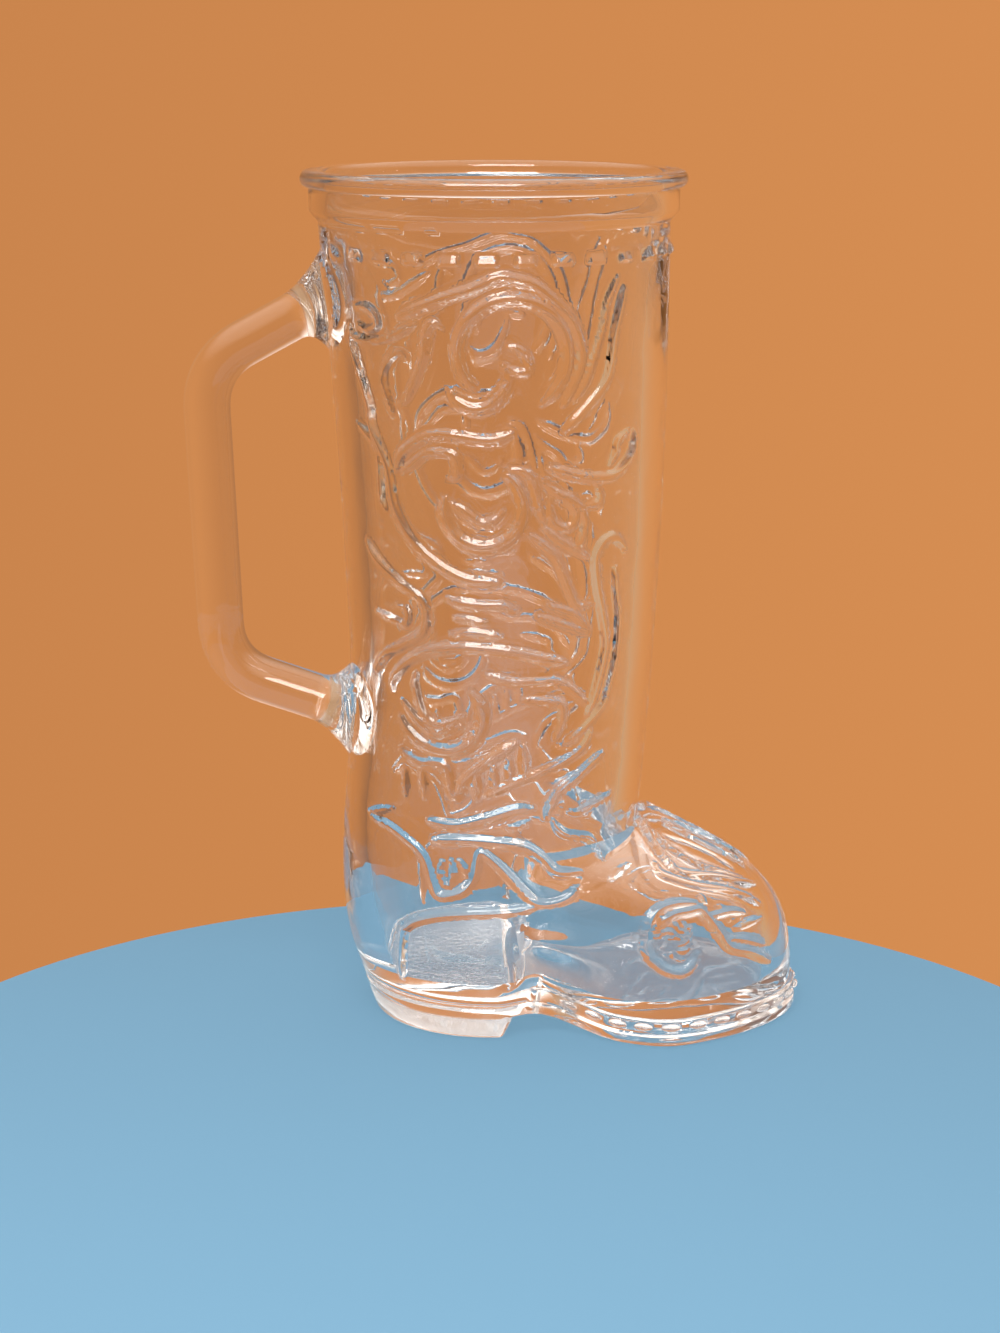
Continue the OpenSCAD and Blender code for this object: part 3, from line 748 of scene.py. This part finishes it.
def bar_ring(j):
    heading = (bar[min(len(bar) - 1, j + 1)] - bar[max(0, j - 1)]).normalized()
    across = Vector((heading.z, 0, -heading.x))
    return [bar[j] + across * section(i)[0] + Vector((0, section(i)[1], 0)) for i in range(bar_sides)]


def root_ring(root, end, s, inset=0):
    heading = (bar[1] - bar[0] if end == 0 else bar[-1] - bar[-2]).normalized()
    z = corners[root].z
    ring = []
    for i, outer in enumerate(bar_ring(end)):
        u, v = -section(i)[0] / heading.x, section(i)[1]
        plain = on_back(v, z + u, inset)
        wide = on_back(v * root_share, z + u * root_share, inset)
        ring.append(mix(plain, outer, s) + (wide - plain) * (1 - s) ** 2)
    return ring


last = len(bar) - 1
handle_rings = [root_ring(0, 0, 0, root_depth)]
handle_rings += [root_ring(0, 0, k / flare_steps) for k in range(flare_steps)]
handle_rings += [bar_ring(j) for j in range(last + 1)]
handle_rings += [root_ring(3, last, k / flare_steps) for k in range(flare_steps - 1, -1, -1)]
handle_rings.append(root_ring(3, last, 0, root_depth))

extras = bmesh.new()
rolled_grid(extras, handle_rings)
bmesh.ops.holes_fill(extras, edges=open_edges(extras))
print(len(extras.faces), "faces in the handle")

# %% [markdown]
# ## Heel
# The heel block is round behind and almost square at its breast, the face towards the toe. A small power
# of sine and cosine gives that squared end. It is rolled from rings as well and overlaps the sole a
# little, for the union.

# %% Heel block
breast_square = 0.25


def squared(value):
    return abs(value) ** breast_square * (1 if value > 0 else -1)


def heel_ring(z, inset):
    t = min(1, z / heel_h)
    rear = mix(heel_r, heel_top_r, t) + foot_middle - inset
    breast = breast_x - breast_lean * (1 - t) - foot_middle - inset
    ring = []
    for turn in inside_turns:
        c, s = cos(turn), sin(turn)
        if c > 0:
            ring.append(Vector((foot_middle + breast * squared(c), rear * squared(s), z)))
        else:
            ring.append(Vector((foot_middle + rear * c, rear * s, z)))
    return ring


rolled_grid(extras, [
    heel_ring(0, edge), heel_ring(corner_in, corner_in), heel_ring(edge, 0),
    heel_ring(heel_h - edge, 0), heel_ring(heel_h + outsole_t / 2, edge),
])
bmesh.ops.holes_fill(extras, edges=open_edges(extras))
print(len(extras.faces), "faces with the heel")

# %% [markdown]
# ## Stitches on the welt
# Flat ovals follow each other along the welt from the shank round the toe. A squashed sphere is enough
# for each one, half sunk in the welt.

# %% Welt stitches
welt_count = 12
welt_end = radians(78)
welt_mid = (outsole_t + sole_t) / 2
welt_steps = 200
oval_l, oval_depth, oval_h = 2.3 * MM, 0.9 * MM, 0.95 * MM

welt_line = [sole_point(-welt_end * k / welt_steps, welt_mid) for k in range(welt_steps + 1)]
runs = [0]
for p, q in zip(welt_line, welt_line[1:]):
    runs.append(runs[-1] + (q - p).length)
pitch = runs[-1] / welt_count
for k in range(welt_count):
    at = next(i for i, run in enumerate(runs) if run >= (k + 0.5) * pitch)
    heading = (welt_line[min(welt_steps, at + 1)] - welt_line[at - 1]).normalized()
    outward = Vector((0, 0, 1)).cross(heading).normalized()
    for side in (1, -1):
        ball = bmesh.ops.create_uvsphere(extras, u_segments=12, v_segments=8, radius=1)["verts"]
        for vert in ball:
            place = welt_line[at] + heading * vert.co.z * oval_l + outward * vert.co.x * oval_depth
            place.z += vert.co.y * oval_h
            vert.co = Vector((place.x, place.y * side, place.z))
bmesh.ops.recalc_face_normals(extras, faces=extras.faces[:])
print(2 * welt_count, "stitches on the welt")


# %% [markdown]
# ## Melt the pieces together
# Glass has no inner walls where a handle joins, so the handle, the heel and the stitches are united with
# the body. The Manifold solver is exact about closed meshes and fast.

# %% Union
def mesh_object(name, bm):
    mesh = bpy.data.meshes.new(name)
    bm.to_mesh(mesh)
    bm.free()
    obj = bpy.data.objects.new(name, mesh)
    bpy.context.scene.collection.objects.link(obj)
    return obj


sharp_angle = radians(38)
glass = mesh_object("boot_glass", body)
added = mesh_object("added_glass", extras)
union = glass.modifiers.new("union", "BOOLEAN")
union.operation = "UNION"
union.solver = "MANIFOLD"
union.object = added
united = bpy.data.meshes.new_from_object(glass.evaluated_get(bpy.context.evaluated_depsgraph_get()))
glass.modifiers.clear()
glass.data = united
glass.data.name = "boot_glass"
bpy.data.objects.remove(added)
glass.data.shade_smooth()
glass.data.set_sharp_from_angle(angle=sharp_angle)
print(len(united.polygons), "faces,", sum(len(p.vertices) - 2 for p in united.polygons), "triangles")

# %% [markdown]
# ## Clear glass
# Moulded soda-lime glass is almost colourless. What tells it from a computer's perfect glass is a skin
# that is slightly wavy and has a few dull smudges. Noise on Object coordinates drives the bump and the
# roughness. Transmission and the refractive index stay plain.

# %% Material
glass_material = bpy.data.materials.new("clear_glass")
glass_material.use_nodes = True
glass_tree = glass_material.node_tree
links = glass_tree.links
shader = glass_tree.nodes["Principled BSDF"]
shader.inputs["Base Color"].default_value = (0.968, 0.964, 0.966, 1)
shader.inputs["Roughness"].default_value = 0.02
shader.inputs["IOR"].default_value = 1.5
shader.inputs["Transmission Weight"].default_value = 1


def new_node(tree, kind, **values):
    node = tree.nodes.new(kind)
    for name, value in values.items():
        node.inputs[name.replace("_", " ")].default_value = value
    return node


on_glass = new_node(glass_tree, "ShaderNodeTexCoord")
wave = new_node(glass_tree, "ShaderNodeTexNoise", Scale=60, Detail=2)
ripple = new_node(glass_tree, "ShaderNodeBump", Strength=0.15, Distance=0.001)
smudge = new_node(glass_tree, "ShaderNodeTexNoise", Scale=25, Detail=6)
dull = new_node(glass_tree, "ShaderNodeMapRange", From_Min=0.5, From_Max=0.8, To_Min=0, To_Max=0.06)
links.new(on_glass.outputs["Object"], wave.inputs["Vector"])
links.new(wave.outputs["Fac"], ripple.inputs["Height"])
links.new(on_glass.outputs["Object"], smudge.inputs["Vector"])
links.new(smudge.outputs["Fac"], dull.inputs["Value"])
print(glass_material.name, "with", len(glass_tree.nodes), "nodes")

# %% [markdown]
# The underside of the heel is stippled and frosted, as on many pressed glasses. A mask finds it: the lowest
# part of a millimetre, behind the heel's breast. There, small cells make a bump on top of the ripple, and
# the roughness rises.

# %% Stippled heel
under = new_node(glass_tree, "ShaderNodeMapRange", From_Min=0.6 * MM, From_Max=0.2 * MM)
behind = new_node(glass_tree, "ShaderNodeMath")
behind.operation = "LESS_THAN"
behind.inputs[1].default_value = breast_x
stippled = new_node(glass_tree, "ShaderNodeMath")
stippled.operation = "MULTIPLY"
split_place = new_node(glass_tree, "ShaderNodeSeparateXYZ")
links.new(on_glass.outputs["Object"], split_place.inputs["Vector"])
links.new(split_place.outputs["Z"], under.inputs["Value"])
links.new(split_place.outputs["X"], behind.inputs[0])
links.new(under.outputs["Result"], stippled.inputs[0])
links.new(behind.outputs["Value"], stippled.inputs[1])

grains = new_node(glass_tree, "ShaderNodeTexVoronoi", Scale=900)
stipple = new_node(glass_tree, "ShaderNodeBump", Distance=0.0001)
frost = new_node(glass_tree, "ShaderNodeMath")
frost.operation = "MULTIPLY_ADD"
frost.inputs[1].default_value = 0.4
links.new(on_glass.outputs["Object"], grains.inputs["Vector"])
links.new(stippled.outputs["Value"], stipple.inputs["Strength"])
links.new(grains.outputs["Distance"], stipple.inputs["Height"])
links.new(ripple.outputs["Normal"], stipple.inputs["Normal"])
links.new(stipple.outputs["Normal"], shader.inputs["Normal"])
links.new(stippled.outputs["Value"], frost.inputs[0])
links.new(dull.outputs["Result"], frost.inputs[2])
links.new(frost.outputs["Value"], shader.inputs["Roughness"])
print(glass_material.name, "with", len(glass_tree.nodes), "nodes")

# %% [markdown]
# Real glass throws a light shadow. A path tracer needs caustics for that, which are slow and noisy, so a
# shadow ray passes straight through and only takes a faint tint along.

# %% Light shadow
clear = new_node(glass_tree, "ShaderNodeBsdfTransparent", Color=(0.95, 0.955, 0.955, 1))
ray = new_node(glass_tree, "ShaderNodeLightPath")
pass_light = new_node(glass_tree, "ShaderNodeMixShader")
links.new(ray.outputs["Is Shadow Ray"], pass_light.inputs["Fac"])
links.new(shader.outputs["BSDF"], pass_light.inputs[1])
links.new(clear.outputs["BSDF"], pass_light.inputs[2])
links.new(pass_light.outputs["Shader"], glass_tree.nodes["Material Output"].inputs["Surface"])
glass.data.materials.clear()
glass.data.materials.append(glass_material)
print("boot_glass wears", glass.data.materials[0].name)

# %% [markdown]
# ## Stage
# Clear glass shows little else than what is round it, so the stage matters: a plain pale table with a
# round far edge, a plain warm backdrop that comes from the world, and one soft lamp.

# %% Table
table_r = 0.152
table_stretch = 0.25
table_place = (0, -0.075, -0.4 * MM)

table_bm = bmesh.new()
bmesh.ops.create_circle(table_bm, cap_ends=True, segments=128, radius=table_r)
near_half = [v for v in table_bm.verts if v.co.y < -1e-5]
bmesh.ops.translate(table_bm, verts=near_half, vec=(0, -table_stretch, 0))
bmesh.ops.translate(table_bm, verts=table_bm.verts[:], vec=table_place)
table = mesh_object("table", table_bm)
table_material = bpy.data.materials.new("pale_table")
table_material.use_nodes = True
table_shader = table_material.node_tree.nodes["Principled BSDF"]
table_shader.inputs["Base Color"].default_value = (0.25, 0.51, 0.75, 1)
table_shader.inputs["Roughness"].default_value = 0.8
table.data.materials.append(table_material)
print("table", round(2 * table_r / MM), "mm wide")

# %% [markdown]
# The world has one colour per direction. The backdrop is darker towards the camera, as a room is, so that
# the edges of the glass find something dark to bend, and bright overhead, for the highlights.

# %% World: colours by direction
world = bpy.data.worlds.new("backdrop")
bpy.context.scene.world = world
world.use_nodes = True
world_tree = world.node_tree
world_links = world_tree.links
world_tree.nodes.clear()
view_way = new_node(world_tree, "ShaderNodeTexCoord")
split = new_node(world_tree, "ShaderNodeSeparateXYZ")
world_links.new(view_way.outputs["Generated"], split.inputs["Vector"])


def spread(axis, start, end):
    node = new_node(world_tree, "ShaderNodeMapRange", From_Min=start, From_Max=end)
    node.interpolation_type = "SMOOTHSTEP"
    world_links.new(split.outputs[axis], node.inputs["Value"])
    return node.outputs["Result"]


def blend(factor, a, b):
    node = new_node(world_tree, "ShaderNodeMix")
    node.data_type = "RGBA"
    world_links.new(factor, node.inputs["Factor"])
    for name, colour in (("A", a), ("B", b)):
        if isinstance(colour, tuple):
            node.inputs[name].default_value = (*colour, 1)
        else:
            world_links.new(colour, node.inputs[name])
    return node.outputs["Result"]


# Painted shade and light: the backdrop and the sides are darker to the left and lighter to the right, as the
# light falls in the room.
backdrop = blend(spread("X", -0.5, 0.5), (0.56, 0.22, 0.07), (0.7, 0.283, 0.09))
sides = blend(spread("X", -0.7, 0.7), (0.28, 0.13, 0.065), (0.62, 0.37, 0.2))
room = blend(spread("Y", -0.8, -0.1), (0.15, 0.09, 0.07), sides)
around = blend(spread("Y", 0.5, 0.85), room, backdrop)
sky = blend(spread("Z", 0.35, 0.8), around, (2, 1.82, 1.65))
print("world with", len(world_tree.nodes), "nodes")

# %% [markdown]
# These colours are for the camera, for reflections and for what is seen through the glass. Everything
# else, such as the table, gets a weak, plain fill instead.

# %% World: seen and fill
warm_white = (1, 0.97, 0.93)


def larger(a, b):
    node = new_node(world_tree, "ShaderNodeMath")
    node.operation = "MAXIMUM"
    world_links.new(a, node.inputs[0])
    world_links.new(b, node.inputs[1])
    return node.outputs[0]


seen = new_node(world_tree, "ShaderNodeBackground")
world_links.new(sky, seen.inputs["Color"])
fill = new_node(world_tree, "ShaderNodeBackground", Color=(*warm_white, 1), Strength=0.1)
path = new_node(world_tree, "ShaderNodeLightPath").outputs
seen_ray = larger(larger(path["Is Camera Ray"], path["Is Glossy Ray"]), path["Is Transmission Ray"])
choose = new_node(world_tree, "ShaderNodeMixShader")
world_links.new(seen_ray, choose.inputs["Fac"])
world_links.new(fill.outputs[0], choose.inputs[1])
world_links.new(seen.outputs[0], choose.inputs[2])
out = new_node(world_tree, "ShaderNodeOutputWorld")
world_links.new(choose.outputs[0], out.inputs["Surface"])
print("fill at", round(fill.inputs["Strength"].default_value, 2))

# %% [markdown]
# One wide lamp above the camera's left shoulder draws the highlights on the tooling. Thick glass bends
# light many times, so the light paths may be long.

# %% Lamp and light paths
key_place = Vector((-0.08, -0.6, 0.85))
key_aim = Vector((0, 0, mug_h / 2))

key_data = bpy.data.lights.new("key", "AREA")
key_data.shape = "RECTANGLE"
key_data.size, key_data.size_y = 0.6, 0.4
key_data.energy = 9.8
key_data.color = warm_white
key = bpy.data.objects.new("key", key_data)
key.location = key_place
key.rotation_euler = (key_aim - key_place).to_track_quat("-Z", "Y").to_euler()
key.visible_camera = False
bpy.context.scene.collection.objects.link(key)

cycles = bpy.context.scene.cycles
cycles.max_bounces = 32
cycles.transmission_bounces = 32
cycles.glossy_bounces = 16
cycles.caustics_refractive = False
cycles.caustics_reflective = False
bpy.context.scene.view_settings.view_transform = "Standard"
print("key lamp", round(key_data.energy, 1), "W")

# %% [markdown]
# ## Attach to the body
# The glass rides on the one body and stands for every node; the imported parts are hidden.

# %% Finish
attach(glass, "root")
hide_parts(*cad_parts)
